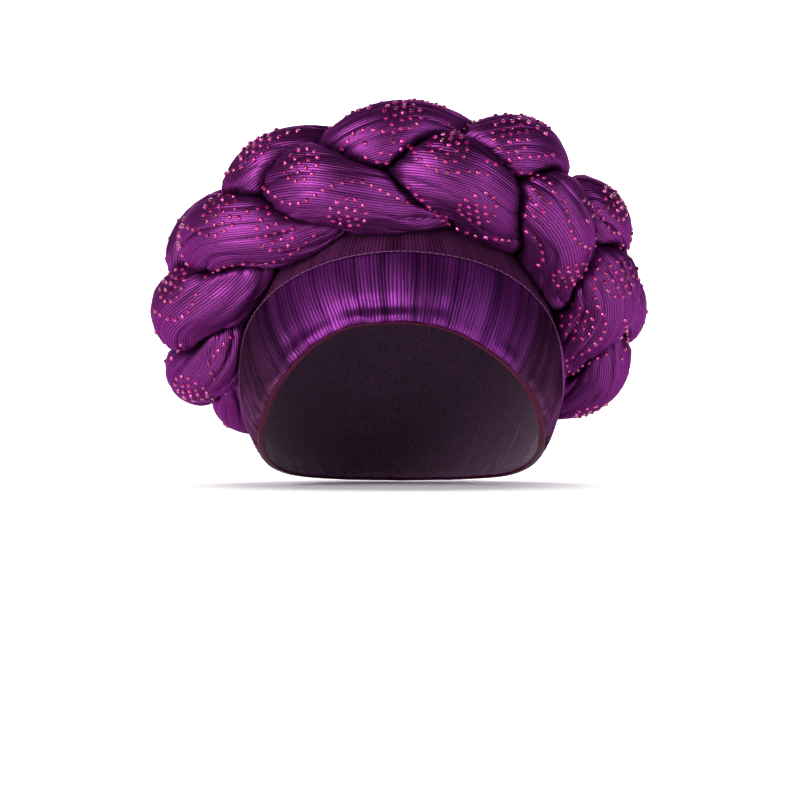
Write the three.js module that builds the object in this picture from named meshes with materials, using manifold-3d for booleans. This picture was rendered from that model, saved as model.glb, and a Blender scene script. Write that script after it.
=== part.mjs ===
// Braided head tie: a fitted cap of pleated metallic cloth with a crescent brow band and a rolled
// edge, and a padded three-strand plait sewn on as a halo from nape to nape over the forehead.
// Millimetres, +Z up, the face looks along -Y. The origin is in the middle of the head that wears
// it, level with the front of the band's lower edge.
import * as THREE from "three";
import { ParametricGeometry } from "three/addons/geometries/ParametricGeometry.js";
import { mergeVertices } from "three/addons/utils/BufferGeometryUtils.js";
import Module from "manifold-3d";

const wasm = await Module();
wasm.setup();

// Head form that the cap's outside follows
const HEAD = {
  halfWidth: 81,
  front: 96.5,
  back: 96,
  crown: 92.5, // from the widest level up to the top
  nape: 75, // from the widest level down to where the form would close
  widestLevel: -28,
  fullness: 2.4, // 2 is an ellipse, more is squarer
};

// Cloth and gaps
const CAP_WALL = 1.4;
const BAND_WALL = 1.4;
const GAP = 0.3;
const BAND_LIFT = 0.6; // of the band over the cap, whose facets differ
const BINDING_RADIUS = 1.25;

// Lower edge of the cap all the way round: degrees from the front, height
const RIM_ROWS = [
  { azimuth: -180, z: -80 },
  { azimuth: -150, z: -79 },
  { azimuth: -118, z: -76 },
  { azimuth: -92, z: -70 },
  { azimuth: -72, z: -61 },
  { azimuth: -56, z: -47 },
  { azimuth: -42, z: -29 },
  { azimuth: -29, z: -12.5 },
  { azimuth: -17, z: -2.6 },
  { azimuth: -6, z: 0 },
  { azimuth: 6, z: -0.4 },
  { azimuth: 17, z: -5 },
  { azimuth: 29, z: -15 },
  { azimuth: 42, z: -28 },
  { azimuth: 57, z: -46 },
  { azimuth: 72, z: -60 },
  { azimuth: 92, z: -69 },
  { azimuth: 118, z: -76 },
  { azimuth: 150, z: -79 },
  { azimuth: 180, z: -80 },
];

// Upper seam of the brow band. "at" is the azimuth on the rim that each row stands over.
const SEAM_ROWS = [
  { at: -88, azimuth: -89, z: -68 },
  { at: -78, azimuth: -89, z: -52 },
  { at: -68, azimuth: -87, z: -34 },
  { at: -56, azimuth: -80, z: -13 },
  { at: -44, azimuth: -67, z: 3 },
  { at: -31, azimuth: -48, z: 18.5 },
  { at: -18, azimuth: -28, z: 29.5 },
  { at: -6, azimuth: -9, z: 34.6 },
  { at: 6, azimuth: 9, z: 34.6 },
  { at: 18, azimuth: 28, z: 30.2 },
  { at: 31, azimuth: 46, z: 21 },
  { at: 44, azimuth: 65, z: 5.5 },
  { at: 56, azimuth: 79, z: -11 },
  { at: 68, azimuth: 87, z: -32 },
  { at: 78, azimuth: 89, z: -50 },
  { at: 88, azimuth: 89, z: -66 },
];

// Middle line of the plait from its left end at the nape, over the brow, to its right end.
// phase is how far the weave has gone on, in degrees. roll turns the plait about its middle line,
// from facing forwards to facing out from the head. size is its share of the full thickness.
const PLAIT_ROWS = [
  { x: -8, y: 101, z: -57, phase: -490, roll: 88, size: 0.3 },
  { x: -47, y: 89.5, z: -47, phase: -425, roll: 90, size: 0.5 },
  { x: -79, y: 62, z: -32, phase: -364, roll: 92, size: 0.68 },
  { x: -93, y: 40, z: -20, phase: -290, roll: 95, size: 0.84 },
  { x: -96.5, y: 20, z: -6, phase: -212, roll: 97, size: 0.95 },
  { x: -96.5, y: -2, z: 16, phase: -124, roll: 99, size: 1 },
  { x: -84, y: -26, z: 43, phase: -33, roll: 97, size: 1 },
  { x: -60, y: -47, z: 61, phase: 42, roll: 84, size: 0.97 },
  { x: -34, y: -60, z: 72.5, phase: 112, roll: 72, size: 0.97 },
  { x: 0, y: -66, z: 76.5, phase: 178, roll: 66, size: 0.96 },
  { x: 34, y: -61, z: 76, phase: 246, roll: 66, size: 0.97 },
  { x: 62, y: -46, z: 66, phase: 325, roll: 68, size: 0.98 },
  { x: 84.5, y: -23, z: 45.5, phase: 405, roll: 72, size: 0.98 },
  { x: 97, y: 0, z: 20, phase: 485, roll: 76, size: 0.97 },
  { x: 96.5, y: 18, z: -5, phase: 560, roll: 80, size: 0.9 },
  { x: 88, y: 38, z: -22, phase: 625, roll: 82, size: 0.82 },
  { x: 70, y: 62, z: -35, phase: 680, roll: 82, size: 0.7 },
  { x: 45, y: 90, z: -47, phase: 735, roll: 85, size: 0.5 },
  { x: 8, y: 101, z: -57, phase: 790, roll: 85, size: 0.3 },
];
const PLAIT = {
  swing: 13, // how far a strand's middle swings to each side
  lift: 10.5, // how far it rises in front and sinks behind
  halfWidth: 21, // of a free strand, along the swing
  halfDepth: 19.5, // of a free strand, along the lift
  gap: 2, // left between strands that press on each other
  clearOfCap: 1.15,
  facing: new THREE.Vector3(0, -0.77, -0.64), // square to the plane that the halo lies in
  endTaper: 0.03, // share of the length over which each end closes
};

const BAND_SECTIONS = 30;
const RIM_SECTIONS = 60;
const CAP_COLUMNS = 40;
const CAP_ROWS = 9;
const STRAND_SECTIONS = 62;
const STRAND_SIDES = 18;

const CLOTH = new THREE.Color(0.3, 0.07, 0.36);
const BAND_CLOTH = new THREE.Color(0.36, 0.1, 0.4);
const MAROON = new THREE.Color(0.25, 0.04, 0.14);

const radians = THREE.MathUtils.degToRad;

// Value of a table's columns at a place between its rows, on a smooth curve through them.
function smoothColumns(rows, columns) {
  const points = rows.map(
    (row) => new THREE.Vector3(...columns.map((column) => row[column])),
  );
  const curve = new THREE.CatmullRomCurve3(points, false, "catmullrom", 0.5);
  return (share) => curve.getPoint(THREE.MathUtils.clamp(share, 0, 1));
}

// The share along a table at which a growing column reaches a value.
function shareAt(lookUp, value) {
  let low = 0;
  let high = 1;
  for (let i = 0; i < 30; i++) {
    const middle = (low + high) / 2;
    if (lookUp(middle).x < value) low = middle;
    else high = middle;
  }
  return (low + high) / 2;
}

// Point of the head form, grown by some millimetres, at an azimuth and a height.
function onHead(azimuth, z, grown = 0) {
  const up = z > HEAD.widestLevel;
  const power = up ? HEAD.fullness : 2;
  const reach = (up ? HEAD.crown : HEAD.nape) + grown;
  const rise = Math.min(Math.abs(z - HEAD.widestLevel) / reach, 1);
  const share = Math.pow(1 - Math.pow(rise, power), 1 / power);
  const across = (HEAD.halfWidth + grown) * share;
  const forward = Math.cos(azimuth) > 0 ? HEAD.front : HEAD.back;
  const along = (forward + grown) * share;
  const radius =
    1 / Math.hypot(Math.sin(azimuth) / across, Math.cos(azimuth) / along);
  return new THREE.Vector3(
    radius * Math.sin(azimuth),
    -radius * Math.cos(azimuth),
    z,
  );
}

// Below 0 inside the head form grown by some millimetres, above 0 outside.
function headField(point, grown) {
  const up = point.z > HEAD.widestLevel;
  const power = up ? HEAD.fullness : 2;
  const reach = (up ? HEAD.crown : HEAD.nape) + grown;
  const along = (point.y < 0 ? HEAD.front : HEAD.back) + grown;
  const flat = Math.hypot(point.x / (HEAD.halfWidth + grown), point.y / along);
  const rise = Math.abs(point.z - HEAD.widestLevel) / reach;
  return Math.pow(rise, power) + Math.pow(flat, power) - 1;
}

const rimColumns = smoothColumns(RIM_ROWS, ["azimuth", "z", "z"]);
function rimHeight(azimuthDegrees) {
  return rimColumns(shareAt(rimColumns, azimuthDegrees)).y;
}

// Fitted cap: each profile runs from the inner crown down inside, round the rim and up outside.
function crownCap() {
  const steps = 2 * CAP_ROWS + 1;
  const level = HEAD.widestLevel;
  const surface = (u, v, target) => {
    const degrees = -180 + 360 * u;
    const step = Math.round(v * steps);
    const inner = step <= CAP_ROWS;
    const rise = inner ? 1 - step / CAP_ROWS : (step - CAP_ROWS - 1) / CAP_ROWS;
    const grown = inner ? -CAP_WALL : 0;
    const top = HEAD.crown + grown;
    const rim = rimHeight(degrees) - level;
    const power = rim > 0 ? HEAD.fullness : 2;
    const reach = rim > 0 ? top : HEAD.nape + grown;
    const start =
      Math.sign(rim) * Math.asin(Math.pow(Math.abs(rim) / reach, power / 2));
    const angle = start + (Math.PI / 2 - start) * rise;
    const bend = angle > 0 ? 2 / HEAD.fullness : 1;
    const size = angle > 0 ? top : HEAD.nape + grown;
    const z =
      level + size * Math.sign(angle) * Math.pow(Math.abs(Math.sin(angle)), bend);
    if (rise === 1) target.set(0, 0, level + top);
    else target.copy(onHead(radians(degrees), z, grown));
  };
  return new ParametricGeometry(surface, CAP_COLUMNS, steps);
}

// Brow band: a section loop goes up its outer face and down its inner face, and the sections run
// from the point under one ear to the point under the other.
const seamPlace = smoothColumns(SEAM_ROWS, ["at", "azimuth", "z"]);
function bandPoint(share, rise, grown) {
  const seam = seamPlace(share);
  const low = rimHeight(seam.x);
  const azimuth = THREE.MathUtils.lerp(seam.x, seam.y, rise);
  const z = THREE.MathUtils.lerp(low, seam.z, rise);
  const closed = share <= 0 || share >= 1;
  return closed
    ? onHead(radians(seam.x), low, grown)
    : onHead(radians(azimuth), z, grown);
}
function browBand() {
  const steps = 4;
  const loop = 2 * steps + 2;
  const surface = (u, v, target) => {
    const step = Math.round(v * loop) % loop;
    const outside = step <= steps;
    const rise = outside ? step / steps : 1 - (step - steps - 1) / steps;
    const grown = outside ? BAND_LIFT + BAND_WALL : BAND_LIFT;
    target.copy(bandPoint(u, rise, grown));
  };
  return new ParametricGeometry(surface, BAND_SECTIONS, loop);
}

// Rolled edge: a round cord just below the rim, out at the middle of the cloth's thickness.
function edgeBinding() {
  const middle = (BAND_LIFT + BAND_WALL - CAP_WALL) / 2;
  const rimPoint = (degrees) =>
    onHead(radians(degrees), rimHeight(degrees), middle);
  const step = 0.5;
  const surface = (u, v, target) => {
    const degrees = -180 + 360 * (u % 1);
    const here = rimPoint(degrees);
    const after = degrees + step > 180 ? degrees + step - 360 : degrees + step;
    const before = degrees - step < -180 ? degrees - step + 360 : degrees - step;
    const along = rimPoint(after).sub(rimPoint(before)).normalize();
    const out = new THREE.Vector3(here.x, here.y, 0).normalize();
    out.addScaledVector(along, -out.dot(along)).normalize();
    const down = new THREE.Vector3().crossVectors(out, along).normalize();
    if (down.z > 0) down.negate();
    const turn = 2 * Math.PI * (v % 1);
    target
      .copy(here)
      .addScaledVector(down, BINDING_RADIUS + GAP)
      .addScaledVector(down, BINDING_RADIUS * Math.cos(turn))
      .addScaledVector(out, BINDING_RADIUS * Math.sin(turn));
  };
  return new ParametricGeometry(surface, RIM_SECTIONS, 8);
}

// Plait: the middle line with its section's directions at a share of the length.
const plaitPlace = smoothColumns(PLAIT_ROWS, ["x", "y", "z"]);
const plaitWeave = smoothColumns(PLAIT_ROWS, ["phase", "roll", "size"]);
function plaitFrame(share) {
  const step = 1e-3;
  const along = plaitPlace(share + step).sub(plaitPlace(share - step)).normalize();
  const front = PLAIT.facing.clone();
  front.addScaledVector(along, -front.dot(along)).normalize();
  const outward = new THREE.Vector3().crossVectors(front, along);
  const weave = plaitWeave(share);
  const roll = radians(weave.y);
  const face = front
    .clone()
    .multiplyScalar(Math.cos(roll))
    .addScaledVector(outward, Math.sin(roll));
  const side = outward
    .clone()
    .multiplyScalar(Math.cos(roll))
    .addScaledVector(front, -Math.sin(roll));
  return { side, face, phase: radians(weave.x), size: weave.z };
}
function strandMiddle(number, share) {
  const frame = plaitFrame(share);
  const phase = frame.phase - (2 * Math.PI * number) / 3;
  return plaitPlace(share)
    .addScaledVector(frame.side, PLAIT.swing * frame.size * Math.sin(phase))
    .addScaledVector(frame.face, PLAIT.lift * frame.size * Math.sin(2 * phase));
}

const LINE_STEPS = 360;
const strandLines = [0, 1, 2].map((number) =>
  Array.from({ length: LINE_STEPS + 1 }, (_, i) =>
    strandMiddle(number, i / LINE_STEPS),
  ),
);
function distanceTo(line, point) {
  let nearest = Infinity;
  for (const other of line)
    nearest = Math.min(nearest, other.distanceToSquared(point));
  return Math.sqrt(nearest);
}

// A strand's cloth may reach a point that is nearer its own middle than the other strands' and
// that is clear of the cap and the band.
function isFree(number, point) {
  const own = distanceTo(strandLines[number], point) + PLAIT.gap;
  const clear = PLAIT.clearOfCap + BAND_LIFT + BAND_WALL;
  if (headField(point, clear) < 0) return false;
  return strandLines.every(
    (line, other) => other === number || distanceTo(line, point) > own,
  );
}

// How far a ray from a strand's middle runs before it is blocked, up to a full length.
function freeLength(number, middle, ray, full) {
  const blocked = (length) =>
    !isFree(number, middle.clone().addScaledVector(ray, length));
  const steps = 12;
  let low = 0;
  let high = full;
  for (let i = 1; i <= steps && high === full; i++) {
    if (blocked((full * i) / steps)) high = (full * i) / steps;
    else low = (full * i) / steps;
  }
  if (low === full) return full;
  for (let i = 0; i < 8; i++) {
    if (blocked((low + high) / 2)) high = (low + high) / 2;
    else low = (low + high) / 2;
  }
  return low;
}

// Padded strand: round sections, pressed flat where they meet a neighbour or the cap.
function strandSections(number) {
  const sections = [];
  for (let i = 0; i <= STRAND_SECTIONS; i++) {
    const share = i / STRAND_SECTIONS;
    const middle = strandMiddle(number, share);
    const step = 2e-3;
    const along = strandMiddle(number, Math.min(share + step, 1))
      .sub(strandMiddle(number, Math.max(share - step, 0)))
      .normalize();
    const frame = plaitFrame(share);
    const face = frame.face.clone();
    face.addScaledVector(along, -face.dot(along)).normalize();
    const side = new THREE.Vector3().crossVectors(face, along);
    const fromEnd = Math.min(share, 1 - share) / PLAIT.endTaper;
    const taper = fromEnd < 1 ? Math.sqrt(Math.max(0, 1 - (1 - fromEnd) ** 2)) : 1;
    const ring = [];
    for (let j = 0; j < STRAND_SIDES; j++) {
      const turn = (2 * Math.PI * j) / STRAND_SIDES;
      const ray = side
        .clone()
        .multiplyScalar(Math.cos(turn))
        .addScaledVector(face, Math.sin(turn));
      const full =
        (frame.size * taper) /
        Math.hypot(
          Math.cos(turn) / PLAIT.halfWidth,
          Math.sin(turn) / PLAIT.halfDepth,
        );
      const length = full > 0 ? freeLength(number, middle, ray, full) : 0;
      ring.push({ middle, ray, length });
    }
    sections.push(ring);
  }
  return sections;
}
function strandGeometry(sections, grown) {
  const surface = (u, v, target) => {
    const ring = sections[Math.round(u * STRAND_SECTIONS)];
    const spoke = ring[Math.round((1 - v) * STRAND_SIDES) % STRAND_SIDES];
    const length = spoke.length > 0 ? spoke.length + grown : 0;
    target.copy(spoke.middle).addScaledVector(spoke.ray, length);
  };
  return new ParametricGeometry(surface, STRAND_SECTIONS, STRAND_SIDES);
}

// Closed solids for cutting, and the mesh that comes back.
function solidOf(geometry) {
  const bare = new THREE.BufferGeometry();
  bare.setAttribute("position", geometry.getAttribute("position"));
  bare.setIndex(geometry.index);
  const merged = mergeVertices(bare, 1e-3);
  const vertProperties = new Float32Array(merged.attributes.position.array);
  const triVerts = new Uint32Array(merged.index.array);
  return new wasm.Manifold(new wasm.Mesh({ numProp: 3, vertProperties, triVerts }));
}
function geometryOf(solid) {
  const mesh = solid.getMesh();
  const geometry = new THREE.BufferGeometry();
  geometry.setAttribute("position", new THREE.BufferAttribute(mesh.vertProperties, 3));
  geometry.setIndex(new THREE.BufferAttribute(mesh.triVerts, 1));
  geometry.computeVertexNormals();
  return geometry;
}

// The three strands. Where the flat facets of two still meet, the later one gives way.
function braidStrands() {
  const sections = [0, 1, 2].map(strandSections);
  const before = [];
  return sections.map((rings) => {
    let solid = solidOf(strandGeometry(rings, 0));
    for (const other of before) solid = solid.subtract(other);
    before.push(solidOf(strandGeometry(rings, GAP)));
    const bodies = solid.decompose().sort((a, b) => b.volume() - a.volume());
    return geometryOf(bodies[0]);
  });
}

function piece(name, geometry, color, roughness, metalness) {
  const material = new THREE.MeshStandardMaterial({ color, roughness, metalness });
  const mesh = new THREE.Mesh(geometry, material);
  mesh.name = name;
  return mesh;
}

const group = new THREE.Group();
group.add(piece("crown_cap", crownCap(), CLOTH, 0.5, 0.4));
group.add(piece("brow_band", browBand(), BAND_CLOTH, 0.4, 0.5));
group.add(piece("edge_binding", edgeBinding(), MAROON, 0.7, 0.1));
const strands = braidStrands();
["a", "b", "c"].forEach((letter, number) => {
  group.add(piece("braid_strand_" + letter, strands[number], CLOTH, 0.4, 0.5));
});

export default group;
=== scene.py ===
import math

import bmesh
import bpy
import numpy as np
from mathutils import Matrix, Vector
from mathutils.bvhtree import BVHTree


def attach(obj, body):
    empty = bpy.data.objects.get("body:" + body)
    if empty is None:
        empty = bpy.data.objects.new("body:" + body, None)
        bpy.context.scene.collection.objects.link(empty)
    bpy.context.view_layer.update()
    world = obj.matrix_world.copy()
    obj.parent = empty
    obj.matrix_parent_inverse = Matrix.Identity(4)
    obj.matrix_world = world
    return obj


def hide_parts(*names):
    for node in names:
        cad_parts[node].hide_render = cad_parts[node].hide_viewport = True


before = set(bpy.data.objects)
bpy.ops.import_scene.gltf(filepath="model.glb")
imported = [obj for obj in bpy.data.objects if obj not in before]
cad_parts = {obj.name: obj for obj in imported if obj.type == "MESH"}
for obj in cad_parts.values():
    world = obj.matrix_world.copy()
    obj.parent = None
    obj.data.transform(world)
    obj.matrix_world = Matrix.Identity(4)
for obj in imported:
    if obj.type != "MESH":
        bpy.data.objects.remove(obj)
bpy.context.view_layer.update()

# The camera stands level in front of the head tie, a little below its middle, as in the
# photograph. Its picture is 800 pixels wide and shows about 41 cm at the head's middle.
picture_width = 800
focal_pixels = 2815.5
camera_place = Vector((-0.0005, -1.45, -0.0371))
camera_data = bpy.data.cameras.new("camera")
camera_data.sensor_width = 36
camera_data.lens = camera_data.sensor_width * focal_pixels / picture_width
camera = bpy.data.objects.new("camera", camera_data)
camera.location = camera_place
camera.rotation_euler = (math.radians(90), 0, 0)
bpy.context.scene.collection.objects.link(camera)
bpy.context.scene.camera = camera

# Crown cap: the fitted cap under everything, cut from violet metallic cloth that was crinkled
# into fine standing pleats. They rise from the rolled edge and are gathered at the crown.
head_half_width = 0.081
head_front = 0.0965
head_back = 0.096
head_crown = 0.0925
head_nape = 0.075
widest_level = -0.028
head_fullness = 2.4
cloth_wall = 0.0014
cap_pleats = 260
cap_rows = 40
points_to_a_pleat = 4
cap_pleat_depth = 0.0004
pleat_roundness = 0.7
crown_gather = 0.05

rim_azimuth = [
    -180, -150, -118, -92, -72, -56, -42, -29, -17, -6,
    6, 17, 29, 42, 57, 72, 92, 118, 150, 180,
]
rim_height = [
    -0.080, -0.079, -0.076, -0.070, -0.061, -0.047, -0.029, -0.0125, -0.0026, 0,
    -0.0004, -0.005, -0.015, -0.028, -0.046, -0.060, -0.069, -0.076, -0.079, -0.080,
]


def smooth_through(values, shares):
    """Smooth curve through a table's column, read at shares from 0 to 1 of its length."""
    rows = np.asarray(values, float)
    rows = np.concatenate([[2 * rows[0] - rows[1]], rows, [2 * rows[-1] - rows[-2]]])
    steps = np.clip(shares, 0, 1) * (len(values) - 1)
    row = np.minimum(steps.astype(int), len(values) - 2)
    part = steps - row
    before, here, after, beyond = (rows[row + i] for i in range(4))
    bend = 2 * before - 5 * here + 4 * after - beyond
    twist = 3 * (here - after) + beyond - before
    return here + 0.5 * part * (after - before + part * (bend + part * twist))


def rim_at(degrees):
    """Height of the cap's lower edge at an azimuth from the front."""
    shares = np.linspace(0, 1, 2001)
    return np.interp(
        degrees, smooth_through(rim_azimuth, shares), smooth_through(rim_height, shares)
    )


def on_head(degrees, height, grown):
    """Point of the head form, grown outwards, at an azimuth and a height."""
    azimuth = np.radians(degrees)
    up = height > widest_level
    power = np.where(up, head_fullness, 2)
    reach = np.where(up, head_crown, head_nape) + grown
    rise = np.minimum(np.abs(height - widest_level) / reach, 1)
    share = np.maximum(1 - rise**power, 1e-9) ** (1 / power)
    across = (head_half_width + grown) * share
    along = (np.where(np.cos(azimuth) > 0, head_front, head_back) + grown) * share
    radius = 1 / np.hypot(np.sin(azimuth) / across, np.cos(azimuth) / along)
    return np.stack(
        [radius * np.sin(azimuth), -radius * np.cos(azimuth), height + 0 * radius], -1
    )


def wander(seed, along, across, turns, waves=7):
    """Smooth made-up unevenness from about -1 to 1. Across, it closes on itself."""
    chance = np.random.default_rng(seed)
    total = 0
    for _ in range(waves):
        total = total + np.sin(
            2 * math.pi * along * chance.uniform(0.3, 1) * turns[0]
            + 2 * math.pi * across * chance.integers(1, turns[1] + 1)
            + chance.uniform(0, 2 * math.pi)
        )
    return total / math.sqrt(waves)


def facing_out(points):
    """Directions square to a grid of points."""
    along = np.gradient(points, axis=0)
    across = np.gradient(points, axis=1)
    square = np.cross(across, along)
    if np.abs(points[:, 0] - points[:, -1]).max() < 1e-6:
        square[:, 0] = square[:, -1] = square[:, 0] + square[:, -1]
    return square / np.maximum(np.linalg.norm(square, axis=-1, keepdims=True), 1e-12)


def uneven_pleats(seed, count, points_each):
    """How deep each pleat is pressed, from about a quarter to the full depth."""
    deep = np.random.default_rng(seed).uniform(0.25, 1, count) ** 0.8
    return np.append(np.repeat(deep, points_each), deep[0])[None]


def uneven_painted_shine(seed, count, points_each, dimmest):
    """Painted highlight on each pleat's crest: how bright its colour stays, from the dimmest up to
    1, the dimmer ones sliding into the painted shade of the grooves.
    """
    bright = np.random.default_rng(seed).uniform(dimmest, 1, count)
    bright = 0.6 * bright + 0.4 * np.roll(bright, 1)
    return np.append(np.repeat(bright, points_each), bright[0])[None]


def cloth_grid(name, points, pleat, matt=0):
    """Woven grid laid through rows of points. pleat is 1 on a crest and 0 at the bottom of a pleat,
    and the cloth's colour reads it for painted highlight and shade; matt is 1 where the cloth has
    lost its gloss."""
    rows, columns = pleat.shape
    shaper = bmesh.new()
    shaper.loops.layers.uv.new("UVMap")
    bmesh.ops.create_grid(
        shaper, x_segments=columns - 1, y_segments=rows - 1, size=1, calc_uvs=True
    )
    mesh = bpy.data.meshes.new(name)
    shaper.to_mesh(mesh)
    shaper.free()
    mesh.vertices.foreach_set("co", points.astype(np.float32).ravel())
    heights = mesh.attributes.new("pleat", "FLOAT", "POINT")
    heights.data.foreach_set("value", pleat.astype(np.float32).ravel())
    dulled = mesh.attributes.new("matt", "FLOAT", "POINT")
    dulled.data.foreach_set("value", (pleat * 0 + matt).astype(np.float32).ravel())
    shaper = bmesh.new()
    shaper.from_mesh(mesh)
    bmesh.ops.remove_doubles(shaper, verts=shaper.verts, dist=1e-6)
    for face in shaper.faces:
        face.smooth = True
    shaper.to_mesh(mesh)
    shaper.free()
    piece = bpy.data.objects.new(name, mesh)
    bpy.context.scene.collection.objects.link(piece)
    return piece


def pleated_cloth(name, crest, groove_shade, shine, grain):
    """Metallic crinkle cloth with a fine thread grain. Its colour darkens to near black towards the
    bottom of each pleat as painted shade in the grooves.
    """
    material = bpy.data.materials.new(name)
    material.use_nodes = True
    nodes, links = material.node_tree.nodes, material.node_tree.links
    surface = nodes["Principled BSDF"]
    surface.inputs["Metallic"].default_value = shine
    surface.inputs["Specular IOR Level"].default_value = 0.2
    surface.inputs["Specular Tint"].default_value = (0.45, 0.12, 0.45, 1)
    height = nodes.new("ShaderNodeAttribute")
    height.attribute_name = "pleat"
    place = nodes.new("ShaderNodeUVMap")
    place.uv_map = "UVMap"
    stretch = nodes.new("ShaderNodeMapping")
    stretch.inputs["Scale"].default_value = grain
    links.new(place.outputs["UV"], stretch.inputs["Vector"])
    thread = nodes.new("ShaderNodeTexNoise")
    thread.inputs["Scale"].default_value = 1
    thread.inputs["Detail"].default_value = 5
    thread.inputs["Roughness"].default_value = 0.7
    links.new(stretch.outputs["Vector"], thread.inputs["Vector"])
    # The colour ramp runs from painted shade at the bottom of the pleats up to the cloth's own
    # colour on the crests.
    colours = nodes.new("ShaderNodeValToRGB")
    colours.color_ramp.elements[0].color = (*groove_shade, 1)
    colours.color_ramp.elements[1].color = (*crest, 1)
    colours.color_ramp.elements[0].position = 0.02
    colours.color_ramp.elements[1].position = 0.6
    links.new(height.outputs["Fac"], colours.inputs["Fac"])
    uneven = nodes.new("ShaderNodeMix")
    uneven.data_type = "RGBA"
    uneven.blend_type = "MULTIPLY"
    uneven.inputs["Factor"].default_value = 0.8
    links.new(colours.outputs["Color"], uneven.inputs["A"])
    spread = nodes.new("ShaderNodeMapRange")
    spread.inputs["From Min"].default_value = 0.3
    spread.inputs["From Max"].default_value = 0.7
    spread.inputs["To Min"].default_value = 0.25
    spread.inputs["To Max"].default_value = 1.75
    links.new(thread.outputs["Fac"], spread.inputs["Value"])
    links.new(spread.outputs["Result"], uneven.inputs["B"])
    dulled = nodes.new("ShaderNodeAttribute")
    dulled.attribute_name = "matt"
    greyed = nodes.new("ShaderNodeMix")
    greyed.data_type = "RGBA"
    # The matt colours also darken to near black towards the bottom of the pleats: painted shade.
    dull_colours = nodes.new("ShaderNodeValToRGB")
    dull_colours.color_ramp.elements[0].color = (0.008, 0.003, 0.006, 1)
    dull_colours.color_ramp.elements[1].color = (0.14, 0.06, 0.1, 1)
    links.new(height.outputs["Fac"], dull_colours.inputs["Fac"])
    links.new(dull_colours.outputs["Color"], greyed.inputs["B"])
    links.new(dulled.outputs["Fac"], greyed.inputs["Factor"])
    links.new(uneven.outputs["Result"], greyed.inputs["A"])
    links.new(greyed.outputs["Result"], surface.inputs["Base Color"])
    rough = nodes.new("ShaderNodeMapRange")
    rough.inputs["To Min"].default_value = 0.3
    rough.inputs["To Max"].default_value = 0.5
    links.new(thread.outputs["Fac"], rough.inputs["Value"])
    links.new(rough.outputs["Result"], surface.inputs["Roughness"])
    bump = nodes.new("ShaderNodeBump")
    bump.inputs["Strength"].default_value = 0.35
    bump.inputs["Distance"].default_value = 0.0002
    links.new(thread.outputs["Fac"], bump.inputs["Height"])
    links.new(bump.outputs["Normal"], surface.inputs["Normal"])
    return material


columns = cap_pleats * points_to_a_pleat
share_round = np.linspace(0, 1, columns + 1)
degrees = -180 + 360 * share_round
rise = np.linspace(0, 1, cap_rows + 1)[:, None]
rim = rim_at(degrees)[None] - widest_level
rim_power = np.where(rim > 0, head_fullness, 2)
rim_reach = np.where(rim > 0, head_crown, head_nape)
start = np.sign(rim) * np.arcsin((np.abs(rim) / rim_reach) ** (rim_power / 2))
angle = start + (math.pi / 2 - start) * rise
angle_bend = np.where(angle > 0, 2 / head_fullness, 1)
angle_size = np.where(angle > 0, head_crown, head_nape)
height = widest_level + angle_size * np.sign(angle) * np.abs(np.sin(angle)) ** angle_bend
cap_points = on_head(degrees[None], height, 0)
cap_points[-1] = (0, 0, widest_level + head_crown)
crest = np.abs(np.sin(math.pi * cap_pleats * share_round))[None] ** pleat_roundness + 0 * rise
fade = np.clip(np.linalg.norm(cap_points[..., :2], axis=-1) / crown_gather, 0, 1)
uneven = 0.75 + 0.25 * wander(3, rise, share_round[None], (2, 60))
uneven = uneven * uneven_pleats(8, cap_pleats, points_to_a_pleat)
cap_points -= facing_out(cap_points) * ((1 - crest) * uneven * fade)[..., None] * cap_pleat_depth
# Painted highlight: each pleat's crest colour is dimmed by its own random share.
crest = crest * uneven_painted_shine(18, cap_pleats, points_to_a_pleat, 0.3)
cap = cloth_grid("cap_cloth", cap_points, crest * fade + (1 - fade) * 0.7)
wall = cap.modifiers.new("wall", "SOLIDIFY")
wall.thickness = cloth_wall
wall.offset = -1
# The cap's colours are a darker, greyer copy of the plait cloth: partly the cap's own greyer tone,
# partly painted shade standing for the plait's shadow across its front.
cap_cloth = pleated_cloth(
    "cap pleats", (0.13, 0.026, 0.105), (0.01, 0.0025, 0.008), 0.55, (1400, 90, 1)
)
cap.data.materials.append(cap_cloth)
# The wall's inner face takes the second material, a plain plum knit that lines the cap.
lining_cloth = bpy.data.materials.new("plum lining")
lining_cloth.use_nodes = True
lining = lining_cloth.node_tree
knit_place = lining.nodes.new("ShaderNodeUVMap")
knit_place.uv_map = "UVMap"
knit_size = lining.nodes.new("ShaderNodeMapping")
knit_size.inputs["Scale"].default_value = (560, 150, 1)
lining.links.new(knit_place.outputs["UV"], knit_size.inputs["Vector"])
knit = lining.nodes.new("ShaderNodeTexVoronoi")
lining.links.new(knit_size.outputs["Vector"], knit.inputs["Vector"])
knit.inputs["Scale"].default_value = 1
knit_colours = lining.nodes.new("ShaderNodeValToRGB")
knit_colours.color_ramp.elements[0].color = (0.13, 0.05, 0.12, 1)
knit_colours.color_ramp.elements[1].color = (0.05, 0.018, 0.045, 1)
lining.links.new(knit.outputs["Distance"], knit_colours.inputs["Fac"])
knit_surface = lining.nodes["Principled BSDF"]
knit_surface.inputs["Roughness"].default_value = 0.85
knit_surface.inputs["Sheen Weight"].default_value = 0.25
lining.links.new(knit_colours.outputs["Color"], knit_surface.inputs["Base Color"])
knit_bump = lining.nodes.new("ShaderNodeBump")
knit_bump.inputs["Strength"].default_value = 0.4
knit_bump.inputs["Distance"].default_value = 0.0003
knit_bump.invert = True
lining.links.new(knit.outputs["Distance"], knit_bump.inputs["Height"])
lining.links.new(knit_bump.outputs["Normal"], knit_surface.inputs["Normal"])
cap.data.materials.append(lining_cloth)
wall.material_offset = 1
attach(cap, "root")
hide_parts("crown_cap")

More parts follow.
